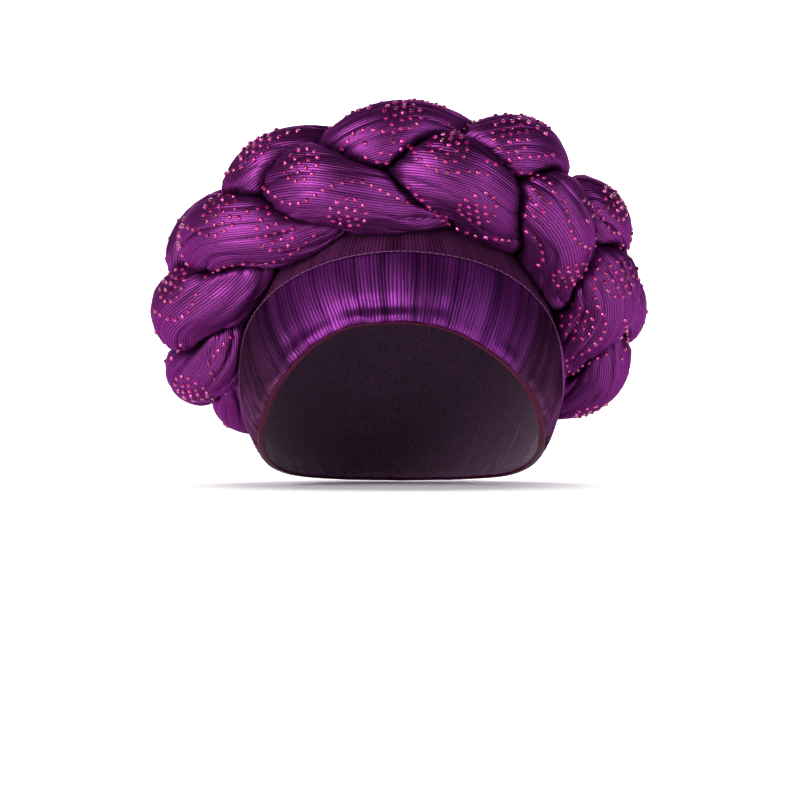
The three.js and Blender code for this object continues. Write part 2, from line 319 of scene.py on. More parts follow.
# Brow band: a crescent of the brightest cloth, laid over the cap's front with its pleats
# standing up and down. It is sewn along its upper edge and caught in the rolled edge below.
band_lift = 0.0006
band_wall = 0.0014
band_pleats = 200
points_to_a_band_pleat = 5
band_rows = 26
band_pleat_depth = 0.00055
band_end = 0.015
roll_top = 0.2
dents = {
    "at": [0.468, 0.335, 0.555],
    "wide": [0.048, 0.02, 0.022],
    "deep": [0.0016, 0.0008, 0.0009],
}
dent_up = 0.25
dent_height = 0.1
matt_from = 44
matt_over = 26
most_matt = 0.85
matt_relief = 0.6
seam_over = [
    -88, -78, -68, -56, -44, -31, -18, -6, 6, 18, 31, 44, 56, 68, 78, 88,
]
seam_azimuth = [
    -89, -89, -87, -80, -67, -48, -28, -9, 9, 28, 46, 65, 79, 87, 89, 89,
]
seam_height = [
    -0.068, -0.052, -0.034, -0.013, 0.003, 0.0185, 0.0295, 0.0346,
    0.0346, 0.0302, 0.021, 0.0055, -0.011, -0.032, -0.050, -0.066,
]


def band_point(share, up, grown):
    """Point of the brow band at a share of its length and of its height."""
    over = smooth_through(seam_over, share)
    low = rim_at(over)
    azimuth = over + (smooth_through(seam_azimuth, share) - over) * up
    height = low + (smooth_through(seam_height, share) - low) * up
    return on_head(azimuth, height, grown)


band_columns = band_pleats * points_to_a_band_pleat
share_along = np.linspace(band_end, 1 - band_end, band_columns + 1)[None]
up = np.linspace(0, 1, band_rows + 1)[:, None]
band_points = band_point(share_along + 0 * up, up + 0 * share_along, band_lift + band_wall)
roll = 0.0004 + 0.0006 * wander(15, 0 * up, share_along, (1, 16))
pull = roll * np.sin(math.pi * np.clip(up / roll_top, 0, 1))
pull = pull - 0.0008 * np.clip(1 - up / 0.05, 0, 1)
for at, wide, deep in zip(dents["at"], dents["wide"], dents["deep"]):
    off = ((share_along - at) / wide) ** 2 + ((up - dent_up) / dent_height) ** 2
    pull = pull - deep * np.exp(-off)
pull = pull + 0.0004 * wander(12, up, share_along, (1, 9))
rucks = np.clip(up / 0.05, 0, 1) * np.exp(-up / 0.2)
pull = pull + 0.0007 * rucks * wander(14, up, share_along, (1, 36))
ends = np.clip((np.minimum(share_along, 1 - share_along) - band_end) / 0.06, 0, 1)
pull = pull * ends * np.minimum(1, (1 - up) / 0.15)
band_points += facing_out(band_points) * pull[..., None]
drift = 0.12 * wander(5, up, share_along, (1, 50))
crest = np.abs(np.sin(math.pi * (band_pleats * share_along + drift))) ** pleat_roundness
uneven = 0.75 + 0.25 * wander(6, up, share_along, (2, 90))
uneven = ends * uneven * uneven_pleats(9, band_pleats, points_to_a_band_pleat)
band_side = np.abs(smooth_through(seam_azimuth, share_along))
band_matt = np.clip((band_side - matt_from) / matt_over, 0, 1) * most_matt + 0 * up
relief = (1 - crest) * uneven * (1 + matt_relief * band_matt)
band_points -= facing_out(band_points) * relief[..., None] * band_pleat_depth
# Painted highlight: each pleat's crest colour is dimmed by its own random share.
crest = crest * uneven_painted_shine(19, band_pleats, points_to_a_band_pleat, 0.2)
band = cloth_grid("brow_band_cloth", band_points, crest, band_matt)
wall = band.modifiers.new("wall", "SOLIDIFY")
wall.thickness = band_wall
wall.offset = -1
band_cloth = pleated_cloth(
    "band pleats", (0.16, 0.024, 0.18), (0.004, 0.001, 0.005), 0.85, (1100, 150, 1)
)
band.data.materials.append(band_cloth)
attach(band, "root")
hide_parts("brow_band")

# Rolled edge: a narrow strip of dark maroon cloth, folded round the raw edge of the cap and the
# band all the way round the opening and sewn down as a soft roll.
edge_radius = 0.0005
edge_spread = 3.3
edge_steps = 420


def cord_along(name, path, radius, sides=12, closed=False, spread=1):
    """Roll of cloth that follows a path. spread widens it in and out from the head."""
    steps = len(path)
    if closed:
        ahead, behind = np.roll(path, -1, axis=0), np.roll(path, 1, axis=0)
        along = ahead - behind
    else:
        along = np.gradient(path, axis=0)
    along /= np.linalg.norm(along, axis=1, keepdims=True)
    out = path * (1, 1, 0)
    out -= np.sum(out * along, axis=1, keepdims=True) * along
    out /= np.linalg.norm(out, axis=1, keepdims=True)
    down = np.cross(out, along)
    turn = np.linspace(0, 2 * math.pi, sides + 1)
    turn[-1] = 0
    radii = np.broadcast_to(np.asarray(radius, float), (steps,)).copy()
    if not closed:
        radii[0] = radii[-1] = 0
    ring = down[:, None] * np.cos(turn)[:, None] + out[:, None] * np.sin(turn)[:, None] * spread
    points = path[:, None] + ring * radii[:, None, None]
    if closed:
        points = np.concatenate([points, points[:1]])
    return cloth_grid(name, points, np.ones(points.shape[:2]))


edge_degrees = np.linspace(-180, 180, edge_steps, endpoint=False)
edge_path = on_head(edge_degrees, rim_at(edge_degrees), (band_lift + band_wall - cloth_wall) / 2)
edge_path[:, 2] -= edge_radius * 0.3
edge = cord_along("rolled_edge", edge_path, edge_radius, closed=True, spread=edge_spread)
edge_cloth = pleated_cloth(
    "maroon edge", (0.06, 0.003, 0.017), (0.025, 0.0015, 0.008), 0, (900, 12, 1)
)
edge.data.materials.append(edge_cloth)
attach(edge, "root")
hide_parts("edge_binding")

# Seam of the brow band: the band's upper edge is turned under as a thin ridge and held by a row
# of small mauve stitches. On the right side a narrow fold of the same cloth stands along it.
seam_radius = 0.00045
seam_end = 0.012
seam_steps = 260
fold_from = 0.745
fold_to = 0.925
fold_steps = 60
fold_widest = 0.0026
fold_set_back = 0.0028
stitch_count = 118
stitch_size = (0.001, 0.00022, 0.00022)
stitch_up = 1.003
stitch_lift = band_lift + band_wall * 0.7 + 0.0006
seam_share = np.linspace(seam_end, 1 - seam_end, seam_steps)
seam_path = band_point(seam_share, 1 + 0 * seam_share, band_lift + band_wall * 0.7)
seam = cord_along("band_seam", seam_path, seam_radius, sides=10, spread=1.3)
seam.data.materials.append(cap_cloth)
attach(seam, "root")
fold_share = np.linspace(fold_from, fold_to, fold_steps)
fold_path = band_point(fold_share, 1 + 0 * fold_share, band_lift + band_wall * 0.4)
fold_path[:, 1] += fold_set_back
fold_radius = fold_widest * np.sin(math.pi * np.linspace(0, 1, fold_steps)) ** 0.8
narrow_fold = cord_along("narrow_fold", fold_path, fold_radius, sides=20)
narrow_fold.data.materials.append(band_cloth)
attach(narrow_fold, "root")
shaper = bmesh.new()
for i in range(stitch_count):
    at = np.array([(i + 0.5) / stitch_count * (1 - 2 * band_end) + band_end])
    here = Vector(band_point(at, np.array([stitch_up]), stitch_lift)[0])
    ahead = Vector(band_point(at + 0.004, np.array([stitch_up]), stitch_lift)[0])
    lie = (ahead - here).to_track_quat("X", "Z").to_matrix().to_4x4()
    seat = Matrix.Translation(here) @ lie @ Matrix.Diagonal((*stitch_size, 1))
    bmesh.ops.create_uvsphere(shaper, u_segments=6, v_segments=4, radius=1, matrix=seat)
stitch_mesh = bpy.data.meshes.new("seam_stitches")
shaper.to_mesh(stitch_mesh)
shaper.free()
stitches = bpy.data.objects.new("seam_stitches", stitch_mesh)
bpy.context.scene.collection.objects.link(stitches)
thread_fibre = bpy.data.materials.new("mauve thread")
thread_fibre.use_nodes = True
twist = thread_fibre.node_tree.nodes.new("ShaderNodeTexWave")
twist.inputs["Scale"].default_value = 900
twist_place = thread_fibre.node_tree.nodes.new("ShaderNodeTexCoord")
thread_fibre.node_tree.links.new(twist_place.outputs["Object"], twist.inputs["Vector"])
twist_colours = thread_fibre.node_tree.nodes.new("ShaderNodeValToRGB")
twist_colours.color_ramp.elements[0].color = (0.07, 0.035, 0.07, 1)
twist_colours.color_ramp.elements[1].color = (0.16, 0.09, 0.17, 1)
thread_fibre.node_tree.links.new(twist.outputs["Fac"], twist_colours.inputs["Fac"])
thread_fibre.node_tree.links.new(
    twist_colours.outputs["Color"],
    thread_fibre.node_tree.nodes["Principled BSDF"].inputs["Base Color"],
)
thread_fibre.node_tree.nodes["Principled BSDF"].inputs["Roughness"].default_value = 0.6
stitch_mesh.materials.append(thread_fibre)
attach(stitches, "root")

# Plait: three padded tubes of the pleated cloth, woven over and under each other and pressed
# together, gathered thin where both ends are sewn down behind the head at the nape.
plait_x = [
    -0.008, -0.047, -0.079, -0.093, -0.0965, -0.0965, -0.084, -0.06, -0.034, 0,
    0.034, 0.062, 0.0845, 0.097, 0.0965, 0.088, 0.07, 0.045, 0.008,
]
plait_y = [
    0.101, 0.0895, 0.062, 0.04, 0.02, -0.002, -0.026, -0.047, -0.06, -0.066,
    -0.061, -0.046, -0.023, 0, 0.018, 0.038, 0.062, 0.09, 0.101,
]
plait_z = [
    -0.057, -0.047, -0.032, -0.02, -0.006, 0.016, 0.043, 0.061, 0.0725, 0.0765,
    0.076, 0.066, 0.0455, 0.02, -0.005, -0.022, -0.035, -0.047, -0.057,
]
plait_phase = [
    -490, -425, -364, -290, -212, -124, -33, 42, 112, 178,
    246, 325, 405, 485, 560, 625, 680, 735, 790,
]
plait_roll = [
    88, 90, 92, 95, 97, 99, 97, 84, 72, 66,
    66, 68, 72, 76, 80, 82, 82, 85, 85,
]
plait_size = [
    0.3, 0.5, 0.68, 0.84, 0.95, 1, 1, 0.97, 0.97, 0.96,
    0.97, 0.98, 0.98, 0.97, 0.9, 0.82, 0.7, 0.5, 0.3,
]
plait_swing = 0.013
plait_lift = 0.0105
strand_half_width = 0.021
strand_half_depth = 0.0195
strand_gap = 0.0008
clear_of_cap = 0.0006
clear_of_band = 0.0006 + band_lift + band_wall
halo_facing = np.array([0, -0.77, -0.64])
end_taper = 0.03
under_fill = 0.4
strand_pleats = 98
points_to_a_strand_pleat = 4
coarse_rows = 160
coarse_columns = 64
fine_rows = 250
strand_pleat_depth = 0.0004
fold_depth = 0.0017
folds_round = 13
strand_roundness = 0.65


def unit(vectors):
    return vectors / np.maximum(np.linalg.norm(vectors, axis=-1, keepdims=True), 1e-12)


def plait_line(share):
    return np.stack([smooth_through(c, share) for c in (plait_x, plait_y, plait_z)], -1)


def plait_section(share):
    """Side and face directions of the plait, its weave's turn and its size."""
    along = unit(plait_line(share + 1e-3) - plait_line(share - 1e-3))
    front = unit(halo_facing - np.sum(along * halo_facing, -1, keepdims=True) * along)
    outward = np.cross(front, along)
    roll = np.radians(smooth_through(plait_roll, share))[:, None]
    face = front * np.cos(roll) + outward * np.sin(roll)
    side = outward * np.cos(roll) - front * np.sin(roll)
    turn = np.radians(smooth_through(plait_phase, share))
    return side, face, turn, smooth_through(plait_size, share)


def strand_middle(number, share):
    side, face, turn, size = plait_section(share)
    turn = turn - 2 * math.pi * number / 3
    swing = plait_swing * size * np.sin(turn)
    lift = plait_lift * size * np.sin(2 * turn)
    return plait_line(share) + side * swing[:, None] + face * lift[:, None]


line_steps = 480
strand_lines = [strand_middle(n, np.linspace(0, 1, line_steps + 1)) for n in range(3)]


def clear_of_head(points, grown):
    """How far points stand off the grown head form, in metres, about."""
    up = points[..., 2] > widest_level
    power = np.where(up, head_fullness, 2)
    reach = np.where(up, head_crown, head_nape) + grown
    along = np.where(points[..., 1] < 0, head_front, head_back) + grown
    flat = np.hypot(points[..., 0] / (head_half_width + grown), points[..., 1] / along)
    rise = np.abs(points[..., 2] - widest_level) / reach
    return ((rise**power + flat**power) ** (1 / power) - 1) * head_half_width


def room_over_head(points):
    """How far points stand off the cap, or off the band where the band lies on it."""
    azimuth = np.degrees(np.arctan2(points[..., 0], -points[..., 1]))
    table = np.linspace(0.1, 0.9, 60)
    top = np.interp(
        azimuth, smooth_through(seam_azimuth, table), smooth_through(seam_height, table)
    )
    on_band = (points[..., 2] < top + 0.004) & (np.abs(azimuth) < 92)
    grown = np.where(on_band, clear_of_band, clear_of_cap)
    return clear_of_head(points, grown)


def padded_form(number):
    """Rows of points round a strand: full and round where it is free, flat where it is pressed."""
    share = np.linspace(0, 1, coarse_rows + 1)
    middle = strand_middle(number, share)
    step = 2e-3
    ahead = strand_middle(number, np.minimum(share + step, 1))
    along = unit(ahead - strand_middle(number, np.maximum(share - step, 0)))
    _, face, _, size = plait_section(share)
    face = unit(face - np.sum(face * along, -1, keepdims=True) * along)
    side = np.cross(face, along)
    from_end = np.minimum(share, 1 - share) / end_taper
    taper = np.sqrt(np.maximum(0, 1 - np.maximum(1 - from_end, 0) ** 2))
    turn = np.arange(coarse_columns) * 2 * math.pi / coarse_columns
    oval = 1 / np.hypot(np.cos(turn) / strand_half_width, np.sin(turn) / strand_half_depth)
    ray = side[:, None] * np.cos(turn)[:, None] + face[:, None] * np.sin(turn)[:, None]
    headward = np.clip(np.sum(ray * unit(-middle)[:, None], -1), 0, 1)
    full = size[:, None] * taper[:, None] * oval[None] * (1 + under_fill * headward**4)
    tries = 36
    reach = 1.5
    free = full * reach
    for row in range(coarse_rows + 1):
        window = int(0.17 * line_steps)
        centre = int(round(share[row] * line_steps))
        near = slice(max(0, centre - window), centre + window + 1)
        lengths = full[row][:, None] * reach * (np.arange(tries) + 1) / tries
        points = middle[row] + ray[row][:, None] * lengths[..., None]
        away = [
            np.sqrt(((points[:, :, None] - line[near]) ** 2).sum(-1).min(-1))
            for line in strand_lines
        ]
        own = away.pop(number)
        room = np.minimum(away[0], away[1]) - own - strand_gap
        room = np.minimum(room, room_over_head(points))
        blocked = room < 0
        first = np.where(blocked.any(1), blocked.argmax(1), tries)
        for column in np.nonzero(first < tries)[0]:
            at = first[column]
            after = room[column, at]
            before = room[column, at - 1] if at > 0 else own[column, 0]
            part = before / (before - after) if before > after else 0
            free[row, column] = full[row, column] * reach * (at + part) / tries
    softness = 0.0013
    both = np.exp(-full / softness) + np.exp(-free / softness)
    length = np.where(full > 0, np.maximum(-softness * np.log(both), 0), 0)
    length = np.minimum(length, full)
    return middle[:, None] + ray * length[..., None], free / np.maximum(full, 1e-9)


def finer(values, rows, columns):
    """Values of a coarse round grid at fractional rows and columns, on smooth curves."""
    for axis, places in ((0, rows), (1, columns)):
        count = values.shape[axis]
        index = np.floor(places).astype(int)
        part = (places - index)[..., None]
        if axis == 0:
            picks = [values[np.clip(index + i, 0, count - 1)] for i in (-1, 0, 1, 2)]
            part = part[:, :, None]
        else:
            at = np.arange(values.shape[0])[:, None]
            picks = [values[at, (index + i) % count] for i in (-1, 0, 1, 2)]
        before, here, after, beyond = picks
        bend = 2 * before - 5 * here + 4 * after - beyond
        twist = 3 * (here - after) + beyond - before
        values = here + 0.5 * part * (after - before + part * (bend + part * twist))
    return values


strand_cloth = pleated_cloth(
    "plait pleats", (0.18, 0.027, 0.175), (0.004, 0.0008, 0.004), 0.88, (300, 900, 1)
)
most_puff = 0.0015
puff_frames = 20
puff_pressure = 4
puff_shrink = -0.008
pressed_below = 1.05


def puffed(forms, loosenesses):
    """Blows the strands up a little as cloth, held where they are pressed on each other."""
    trials = []
    for form, looseness in zip(forms, loosenesses):
        closed = np.concatenate([form, form[:, :1]], 1)
        closed[0], closed[-1] = closed[0].mean(0), closed[-1].mean(0)
        order = np.arange(closed[..., 0].size).reshape(closed.shape[:2])
        trial = cloth_grid("puff_trial", closed, order)
        places = np.zeros(len(trial.data.vertices), np.float32)
        trial.data.attributes["pleat"].data.foreach_get("value", places)
        row, column = np.divmod(places.astype(int), coarse_columns + 1)
        column %= coarse_columns
        held = trial.vertex_groups.new(name="pressed")
        fixed = (looseness[row, column] < pressed_below) | (row < 3) | (row > coarse_rows - 3)
        held.add([int(v) for v in np.nonzero(fixed)[0]], 1, "REPLACE")
        cloth = trial.modifiers.new("cloth", "CLOTH")
        cloth.settings.use_pressure = True
        cloth.settings.uniform_pressure_force = puff_pressure
        cloth.settings.effector_weights.gravity = 0
        cloth.settings.vertex_group_mass = "pressed"
        cloth.settings.shrink_min = puff_shrink
        cloth.settings.quality = 4
        cloth.point_cache.frame_end = puff_frames
        trials.append((trial, row, column))
    for step in range(1, puff_frames + 1):
        bpy.context.scene.frame_set(step)
    after = []
    for (trial, row, column), form in zip(trials, forms):
        shaped = trial.evaluated_get(bpy.context.evaluated_depsgraph_get()).data
        places = np.zeros(3 * len(shaped.vertices), np.float32)
        shaped.vertices.foreach_get("co", places)
        moved = np.zeros_like(form)
        moved[row, column] = places.reshape(-1, 3) - form[row, column]
        moved[0] = moved[-1] = 0
        far = np.linalg.norm(moved, axis=-1, keepdims=True)
        moved *= np.minimum(1, most_puff / np.maximum(far, 1e-9))
        after.append(form + moved)
        bpy.data.objects.remove(trial)
    bpy.context.scene.frame_set(1)
    return after


def kept_off_head(points):
    """Moves points that would press into the cap or the band back out to its face."""
    for _ in range(3):
        inside = np.maximum(-room_over_head(points), 0)[..., None]
        out = np.stack(
            [
                clear_of_head(points + nudge, 0) - clear_of_head(points - nudge, 0)
                for nudge in 0.0005 * np.eye(3)
            ],
            -1,
        )
        points = points + unit(out) * inside
    return points


strand_surfaces = []
padded_forms = [padded_form(number) for number in range(3)]
strand_forms = [form for form, _ in padded_forms]
strand_forms = puffed(strand_forms, [looseness for _, looseness in padded_forms])
for number, letter in enumerate("abc"):
    form, looseness = strand_forms[number], padded_forms[number][1]
    rows = np.linspace(0, coarse_rows, fine_rows + 1)
    fine_columns = strand_pleats * points_to_a_strand_pleat
    share_round = np.linspace(0, 1, fine_columns + 1)
    along_share = (rows / coarse_rows)[:, None]
    drift = 0.9 / strand_pleats * wander(20 + number, along_share, share_round[None], (3, 3))
    places = (share_round[None] + drift) * coarse_columns
    surface = finer(form, rows, places)
    free_here = finer(looseness[..., None], rows, places)[..., 0]
    crest = np.abs(np.sin(math.pi * strand_pleats * share_round))[None]
    crest = crest**strand_roundness + 0 * along_share
    uneven = 0.75 + 0.25 * wander(30 + number, along_share, share_round[None], (14, 40))
    uneven = uneven * uneven_pleats(60 + number, strand_pleats, points_to_a_strand_pleat)
    end_fade = np.clip(np.minimum(along_share, 1 - along_share) / 0.02, 0, 1)
    pressed = (free_here < 1.02).mean(1)
    pressed = np.convolve(np.pad(pressed, 5, "edge"), np.ones(11) / 11, "valid")[:, None]
    fold_place = folds_round * share_round[None] + 0.6 * wander(40 + number, along_share, 0, (9, 1))
    fold = (1 - np.abs(np.sin(math.pi * fold_place))) ** 2 * np.clip(pressed * 2.2 - 0.7, 0, 1)
    fold *= 0.6 + 0.4 * wander(50 + number, along_share, share_round[None], (12, 8))
    depth = (strand_pleat_depth * (1 - crest) * uneven + fold_depth * fold) * end_fade
    surface[:, -1] = surface[:, 0]
    square = facing_out(surface)
    pleated = kept_off_head(surface - square * depth[..., None])
    pleated[:, -1] = pleated[:, 0]
    pleated[0] = pleated[0].mean(0)
    pleated[-1] = pleated[-1].mean(0)
    # Painted highlight: each pleat's crest colour is dimmed by its own random share.
    painted_shine = uneven_painted_shine(70 + number, strand_pleats, points_to_a_strand_pleat, 0.45)
    strand = cloth_grid("plait_strand_" + letter, pleated, crest * painted_shine)
    strand.data.materials.append(strand_cloth)
    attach(strand, "root")
    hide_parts("braid_strand_" + letter)
    strand_surfaces.append(strand)

# Stones: small faceted crimson stones with foil backs, set by heat on the plait's cloth. They run
# in waves along the strands and sit in round clusters. Places in front are read from the
# photograph; the sides that it doesn't show carry the same kind of waves and clusters.
stone_radius = 0.0013
stone_height = 0.00105
stone_pitch = 0.0049
cluster_pitch = 0.0045
closest_stones = 0.0028
cluster_spacing = 0.026
wave_to_cluster = 0.0135
probe_height = 0.008
probe_reach = 0.02
stone_lines = {
    "lowest left lobe, outer": {"px": [181, 176, 170], "py": [345, 356, 360]},
    "lowest left lobe, inner": {
        "px": [231, 218, 209, 213, 217],
        "py": [337, 351, 364, 375, 384],
    },
    "second left lobe": {
        "px": [156, 165, 176, 187, 193, 199],
        "py": [311, 318, 320, 315, 304, 287],
    },
    "third left lobe, wave": {
        "px": [182, 194, 205, 215, 223, 231, 238, 246, 256, 267],
        "py": [226, 229, 235, 236, 232, 227, 219, 212, 209, 208],
    },
    "third left lobe, edge": {
        "px": [206, 218, 226, 245, 265, 283, 299, 318],
        "py": [277, 270, 266, 264, 264, 259, 249, 232],
    },
    "third left lobe, side": {"px": [181, 181, 184, 190], "py": [236, 248, 258, 268]},
    "fourth upper lobe": {
        "px": [225, 241, 250, 258, 265, 274, 281, 291, 300],
        "py": [174, 167, 163, 156, 148, 141, 136, 132, 131],
    },
    "fourth upper lobe, ridge": {
        "px": [222, 232, 244, 258, 272, 288],
        "py": [167, 155, 145, 137, 131, 126],
    },
    "fifth lower lobe": {
        "px": [263, 271, 283, 291, 301, 309, 318, 327, 337, 347, 357, 366, 375, 392, 409],
        "py": [187, 194, 202, 204, 203, 199, 193, 188, 184, 181, 181, 183, 187, 196, 203],
    },
    "sixth upper lobe": {
        "px": [342, 349, 354, 364, 373, 382, 390, 405],
        "py": [149, 140, 133, 130, 130, 131, 133, 129],
    },
    "sixth upper lobe, ridge": {
        "px": [331, 340, 351, 363, 376],
        "py": [128, 119, 113, 109, 107],
    },
    "seventh lower lobe": {
        "px": [402, 414, 418, 425, 434, 444, 454, 465, 474, 484, 492],
        "py": [141, 150, 157, 164, 169, 172, 172, 171, 172, 173, 176],
    },
    "seventh lower lobe, edge": {
        "px": [408, 428, 442, 455, 475, 493, 515],
        "py": [187, 206, 220, 228, 236, 239, 241],
    },
    "eighth upper lobe": {
        "px": [448, 456, 464, 471, 479, 485],
        "py": [124, 134, 129, 124, 119, 115],
    },
    "eighth upper lobe, ridge": {
        "px": [500, 514, 528, 541, 552],
        "py": [113, 116, 122, 130, 139],
    },
    "eighth upper lobe, edge": {
        "px": [487, 496, 515, 525, 542, 554],
        "py": [161, 164, 159, 157, 156, 155],
    },
    "ninth lower lobe, wave": {
        "px": [511, 532, 550, 558, 563, 566, 568, 569, 572, 577, 583, 592],
        "py": [172, 173, 181, 189, 197, 207, 216, 226, 235, 241, 246, 249],
    },
    "ninth lower lobe, inner": {
        "px": [526, 535, 541, 543, 535],
        "py": [232, 238, 246, 260, 269],
    },
    "tenth upper lobe, loop": {
        "px": [583, 592, 594, 586, 590],
        "py": [200, 206, 214, 222, 228],
    },
    "tenth upper lobe, edge": {"px": [598, 605, 613, 622], "py": [210, 223, 232, 234]},
    "eleventh lower lobe, wave": {
        "px": [599, 595, 594, 596, 603, 605, 603, 593, 579, 567, 565, 569],
        "py": [259, 277, 286, 302, 315, 322, 335, 347, 355, 358, 362, 371],
    },
    "eleventh lower lobe, edge": {"px": [606, 599, 587], "py": [354, 357, 364]},
    "twelfth upper lobe": {"px": [622, 630, 637, 637], "py": [245, 254, 266, 280]},
    "right tail": {"px": [625, 627, 624, 618], "py": [320, 338, 352, 366]},
}
stone_clusters = {
    "lowest left lobe": {"px": 190, "py": 391},
    "second left lobe": {"px": 171, "py": 284},
    "third left lobe, top": {"px": 219, "py": 207},
    "third left lobe": {"px": 275, "py": 233},
    "fourth upper lobe": {"px": 254, "py": 146},
    "fifth lower lobe, top": {"px": 300, "py": 163},
    "fifth lower lobe": {"px": 348, "py": 216},
    "sixth upper lobe": {"px": 403, "py": 113},
    "seventh lower lobe, top": {"px": 449, "py": 145},
    "seventh lower lobe": {"px": 477, "py": 211},
    "weave under the sixth lobe": {"px": 387, "py": 163},
    "eighth upper lobe": {"px": 511, "py": 134},
    "ninth lower lobe, top": {"px": 530, "py": 198},
    "ninth lower lobe": {"px": 571, "py": 277},
    "tenth upper lobe": {"px": 617, "py": 202},
    "eleventh lower lobe": {"px": 621, "py": 279},
    "eleventh lower lobe, inner": {"px": 577, "py": 322},
}
trees = [
    BVHTree.FromObject(strand, bpy.context.evaluated_depsgraph_get())
    for strand in strand_surfaces
]


def nearest_hit(origin, direction, reach=3.0):
    """Strand, place and distance of the first cloth that a ray meets."""
    best = (None, None, reach)
    for number, tree in enumerate(trees):
        place, _, _, distance = tree.ray_cast(origin, direction, best[2])
        if place is not None:
            best = (number, place, distance)
    return best


def cloth_normal(number, place):
    """Direction square to the cloth there, evened out over its pleats."""
    total = Vector((0, 0, 0))
    for _, normal, _, _ in trees[number].find_nearest_range(place, 0.0028):
        total += normal
    return total.normalized()


def seen_at(px, py):
    middle = picture_width / 2
    ray = Vector(((px - middle) / focal_pixels, 1, (middle - py) / focal_pixels))
    return nearest_hit(camera_place, ray.normalized())


stone_places = [[], [], []]
cluster_middles = []


def add_stone(number, place):
    crowd = [p for p, _ in stone_places[number] if (p - place).length < closest_stones]
    if not crowd:
        stone_places[number].append((place, cloth_normal(number, place)))


def add_cluster(number, place):
    normal = cloth_normal(number, place)
    side = normal.orthogonal().normalized()
    other = normal.cross(side)
    for ring in range(3):
        for i in range(max(1, 6 * ring)):
            turn = 2 * math.pi * (i + ring / 2) / max(1, 6 * ring)
            a = ring * cluster_pitch * math.cos(turn)
            b = ring * cluster_pitch * math.sin(turn)
            start = place + side * a + other * b + normal * probe_height
            hit, _, _, _ = trees[number].ray_cast(start, -normal, probe_reach)
            if hit is not None:
                first, _, _ = nearest_hit(start, -normal, probe_reach)
                if first == number:
                    add_stone(number, hit)
    cluster_middles.append(place)


def add_line(px, py):
    far = np.hypot(np.diff(px), np.diff(py)).sum()
    steps = np.concatenate([[0], np.cumsum(np.hypot(np.diff(px), np.diff(py)))])
    walked = None
    for along in np.arange(0, far, 0.5):
        number, place, _ = seen_at(np.interp(along, steps, px), np.interp(along, steps, py))
        if number is None:
            continue
        if walked is None or (place - walked).length >= stone_pitch:
            add_stone(number, place)
            walked = place


for cluster in stone_clusters.values():
    number, place, _ = seen_at(cluster["px"], cluster["py"])
    if number is not None:
        add_cluster(number, place)
for line in stone_lines.values():
    add_line(line["px"], line["py"])


def hidden_and_free(number, place, normal):
    """True where the cloth lies open but the photograph's view doesn't reach it."""
    above = place + normal * 0.002
    if nearest_hit(above, normal, probe_reach)[0] is not None:
        return False
    if clear_of_head(np.array(above), 0.004) < 0:
        return False
    sight = place - camera_place
    if normal.dot(-sight.normalized()) < 0.1:
        return True
    first, at, _ = nearest_hit(camera_place, sight.normalized())
    return first is not None and (at - camera_place).length < sight.length - 0.006


for number in range(3):
    form = strand_forms[number]
    for row in range(8, coarse_rows - 7, 3):
        for column in range(0, coarse_columns, 4):
            place = Vector(form[row, column])
            if any((place - other).length < cluster_spacing for other in cluster_middles):
                continue
            place, _, _, _ = trees[number].find_nearest(place)
            if hidden_and_free(number, place, cloth_normal(number, place)):
                add_cluster(number, place)
    for start in (0, coarse_columns // 3, 2 * coarse_columns // 3):
        walked = None
        for step in np.arange(8, coarse_rows - 8, 0.4):
            column = int(start + 6 * math.sin(step * 0.35)) % coarse_columns
            place = Vector(form[int(step), column])
            if walked is not None and (place - walked).length < stone_pitch:
                continue
            if any((place - other).length < wave_to_cluster for other in cluster_middles):
                continue
            place, _, _, _ = trees[number].find_nearest(place)
            if hidden_and_free(number, place, cloth_normal(number, place)):
                add_stone(number, place)
                walked = place

stone_glass = bpy.data.materials.new("crimson stone")
stone_glass.use_nodes = True
gem = stone_glass.node_tree.nodes["Principled BSDF"]
gem.inputs["Metallic"].default_value = 0.6
gem.inputs["Roughness"].default_value = 0.18
gem.inputs["Coat Weight"].default_value = 0.6
gem.inputs["Coat Roughness"].default_value = 0.03
gem_place = stone_glass.node_tree.nodes.new("ShaderNodeTexCoord")
gem_spots = stone_glass.node_tree.nodes.new("ShaderNodeTexNoise")
gem_spots.inputs["Scale"].default_value = 300
gem_colours = stone_glass.node_tree.nodes.new("ShaderNodeValToRGB")
gem_colours.color_ramp.elements[0].color = (0.16, 0.002, 0.05, 1)
gem_colours.color_ramp.elements[1].color = (0.5, 0.012, 0.2, 1)
gem_colours.color_ramp.elements[0].position = 0.35
gem_colours.color_ramp.elements[1].position = 0.65
stone_glass.node_tree.links.new(gem_place.outputs["Object"], gem_spots.inputs["Vector"])
stone_glass.node_tree.links.new(gem_spots.outputs["Fac"], gem_colours.inputs["Fac"])
stone_glass.node_tree.links.new(gem_colours.outputs["Color"], gem.inputs["Base Color"])
shaper = bmesh.new()
low_dome = Matrix.Diagonal((stone_radius, stone_radius, stone_height, 1))
bmesh.ops.create_uvsphere(shaper, u_segments=8, v_segments=6, radius=1, matrix=low_dome)
shaper.verts.ensure_lookup_table()
stone_corners = np.array([corner.co for corner in shaper.verts])
stone_faces = [[corner.index for corner in face.verts] for face in shaper.faces]
shaper.free()
for number, letter in enumerate("abc"):
    corners, faces = [], []
    for place, normal in stone_places[number]:
        seat = normal.to_track_quat("Z", "Y").to_matrix()
        turn = Matrix.Rotation(7 * place.x / stone_radius, 3, "Z")
        first = len(corners) * len(stone_corners)
        corners.append(stone_corners @ np.array(seat @ turn).T + np.array(place))
        faces.extend([[first + corner for corner in face] for face in stone_faces])
    stone_mesh = bpy.data.meshes.new("stones_" + letter)
    stone_mesh.from_pydata(np.concatenate(corners).tolist(), [], faces)
    stones = bpy.data.objects.new("stones_" + letter, stone_mesh)
    bpy.context.scene.collection.objects.link(stones)
    stone_mesh.materials.append(stone_glass)
    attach(stones, "root")

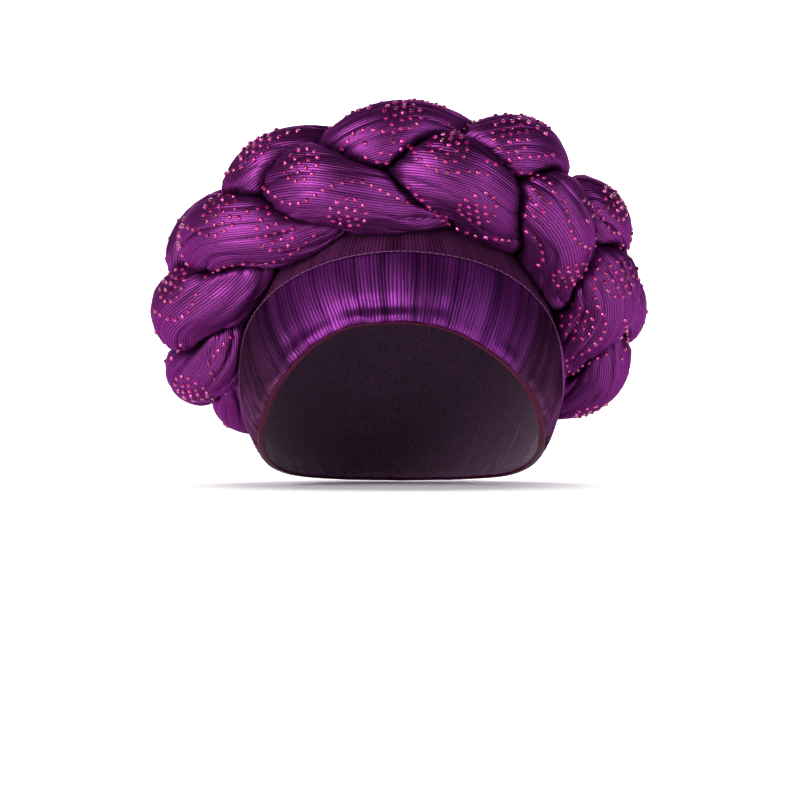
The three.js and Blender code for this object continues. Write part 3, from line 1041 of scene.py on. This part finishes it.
# Floor and backdrop: one plain pale sweep under and behind the head tie. Panels light the head tie
# softly from both sides in front and from behind, and two more fall on the sweep alone.
floor_level = edge_path[:, 2].min() - edge_radius - 0.0005
sweep_width = 6
shaper = bmesh.new()
corner = [(-sweep_width, -3, 0), (-sweep_width, 2.2, 0)]
bends = 12
for i in range(1, bends + 1):
    turn = math.pi / 2 * i / bends
    corner.append((-sweep_width, 2.2 + math.sin(turn), 1 - math.cos(turn)))
corner.append((-sweep_width, 3.2, 5))
line = [shaper.verts.new((x, y, z + floor_level)) for x, y, z in corner]
edges = [shaper.edges.new(pair) for pair in zip(line, line[1:])]
swept = bmesh.ops.extrude_edge_only(shaper, edges=edges)
moved = [part for part in swept["geom"] if isinstance(part, bmesh.types.BMVert)]
bmesh.ops.translate(shaper, verts=moved, vec=(2 * sweep_width, 0, 0))
for face in shaper.faces:
    face.smooth = True
bmesh.ops.recalc_face_normals(shaper, faces=shaper.faces)
floor_mesh = bpy.data.meshes.new("floor")
shaper.to_mesh(floor_mesh)
shaper.free()
floor = bpy.data.objects.new("floor", floor_mesh)
bpy.context.scene.collection.objects.link(floor)
floor_paint = bpy.data.materials.new("pale floor")
floor_paint.use_nodes = True
floor_surface = floor_paint.node_tree.nodes["Principled BSDF"]
floor_surface.inputs["Base Color"].default_value = (0.9, 0.9, 0.9, 1)
floor_surface.inputs["Roughness"].default_value = 0.9
floor.data.materials.append(floor_paint)


def panel(name, place, aim, size, power, colour=(1, 1, 1)):
    light = bpy.data.lights.new(name, "AREA")
    light.shape = "RECTANGLE"
    light.size, light.size_y = size
    light.energy = power
    light.color = colour
    lamp = bpy.data.objects.new(name, light)
    lamp.location = place
    lamp.rotation_euler = (Vector(aim) - Vector(place)).to_track_quat("-Z", "Y").to_euler()
    bpy.context.scene.collection.objects.link(lamp)
    return lamp


panel("left key", (-0.95, -1.2, 0.45), (0, 0, 0.02), (0.75, 0.85), 26, (1, 0.95, 0.98))
panel("right key", (1.15, -0.95, 0.38), (0, 0, 0.02), (0.6, 0.8), 8, (0.9, 0.9, 1))
behind = bpy.data.collections.new("floor and backdrop")
behind.objects.link(floor)
for name, place, aim, size, power in (
    ("backdrop light", (0, 1.0, 2.4), (0, 3.2, 1.4), (4, 1.2), 190),
    ("floor light", (0, 0.3, 2.4), (0, 0.6, 0), (4, 2.4), 100),
):
    lamp = panel(name, place, aim, size, power)
    lamp.light_linking.receiver_collection = behind
panel("back fill", (0, 1.5, 0.9), (0, 0, 0), (1.4, 0.8), 5)
world = bpy.data.worlds.new("studio")
world.use_nodes = True
world.node_tree.nodes["Background"].inputs["Color"].default_value = (1, 1, 1, 1)
world.node_tree.nodes["Background"].inputs["Strength"].default_value = 0.05
bpy.context.scene.world = world
bpy.context.scene.view_settings.view_transform = "Standard"
